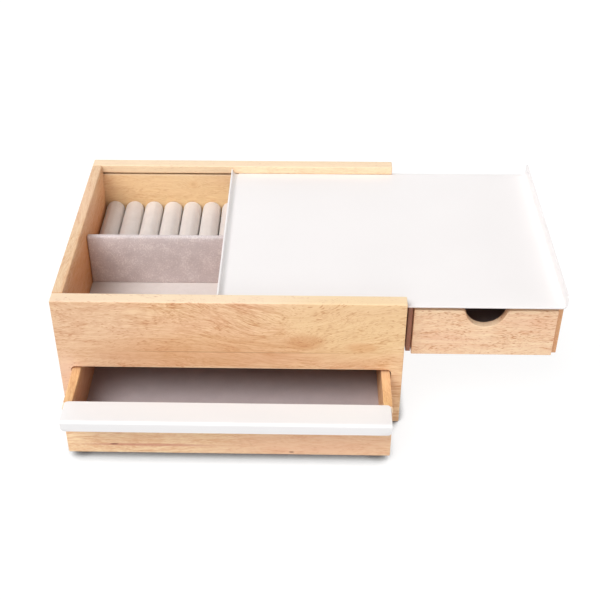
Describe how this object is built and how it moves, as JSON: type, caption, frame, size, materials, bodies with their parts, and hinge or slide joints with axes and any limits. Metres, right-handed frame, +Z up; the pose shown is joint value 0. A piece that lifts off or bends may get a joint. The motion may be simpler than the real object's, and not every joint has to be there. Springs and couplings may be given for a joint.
{
  "type": "tiered jewelry box",
  "caption": "Wooden jewelry case with a ring cushion, a sliding white metal lid that carries a small tray, and a lower drawer with a bent metal pull.",
  "frame": {"origin": "centre of the case's underside, on the surface that the box stands on", "axes": "+Z up, +X to the right along the lid's slide, -Y to the front, where the drawers open"},
  "size_m": [0.3765, 0.2672, 0.1174],
  "materials": {
    "case_wood": "clear satin lacquer on pale rubberwood",
    "tray_wood": "clear satin lacquer on pale wood",
    "panel_wood": "plain thin plywood",
    "white_paint": "satin white powder coat on sheet steel",
    "ring_fabric": "pale grey beige velveteen",
    "liner_fabric": "grey mauve flocked lining"
  },
  "bodies": {
    "case": {"case_front": "case_wood", "case_rear": "case_wood", "case_left": "case_wood", "case_right_lower": "case_wood", "case_bottom": "panel_wood", "case_shelf": "panel_wood", "compartment_partition": "panel_wood", "compartment_liner": "ring_fabric", "ring_divider": "ring_fabric", "ring_cushion_base": "ring_fabric", "ring_roll_1": "ring_fabric", "ring_roll_2": "ring_fabric", "ring_roll_3": "ring_fabric", "ring_roll_4": "ring_fabric", "ring_roll_5": "ring_fabric", "ring_roll_6": "ring_fabric", "ring_roll_7": "ring_fabric", "ring_roll_8": "ring_fabric"},
    "lid": {"lid_sheet": "white_paint", "hanger_left": "tray_wood", "hanger_right": "tray_wood", "carrier_top": "panel_wood", "carrier_back": "panel_wood", "tray_runner_left": "tray_wood", "tray_runner_right": "tray_wood"},
    "tray": {"tray_front": "tray_wood", "tray_left": "tray_wood", "tray_right": "tray_wood", "tray_back": "tray_wood", "tray_bottom": "panel_wood", "tray_liner": "liner_fabric"},
    "drawer": {"drawer_front": "case_wood", "drawer_left": "case_wood", "drawer_right": "case_wood", "drawer_back": "case_wood", "drawer_bottom": "panel_wood", "drawer_liner": "liner_fabric", "drawer_pull": "white_paint"}
  },
  "joints": [
    {"name": "lid_slide", "type": "slide", "parent": "case", "child": "lid", "axis": [1, 0, 0], "range_m": [-0.112, 0.006]},
    {"name": "tray_slide", "type": "slide", "parent": "lid", "child": "tray", "axis": [0, -1, 0], "range_m": [0, 0.184]},
    {"name": "drawer_slide", "type": "slide", "parent": "case", "child": "drawer", "axis": [0, -1, 0], "range_m": [-0.044, 0.1]}
  ]
}
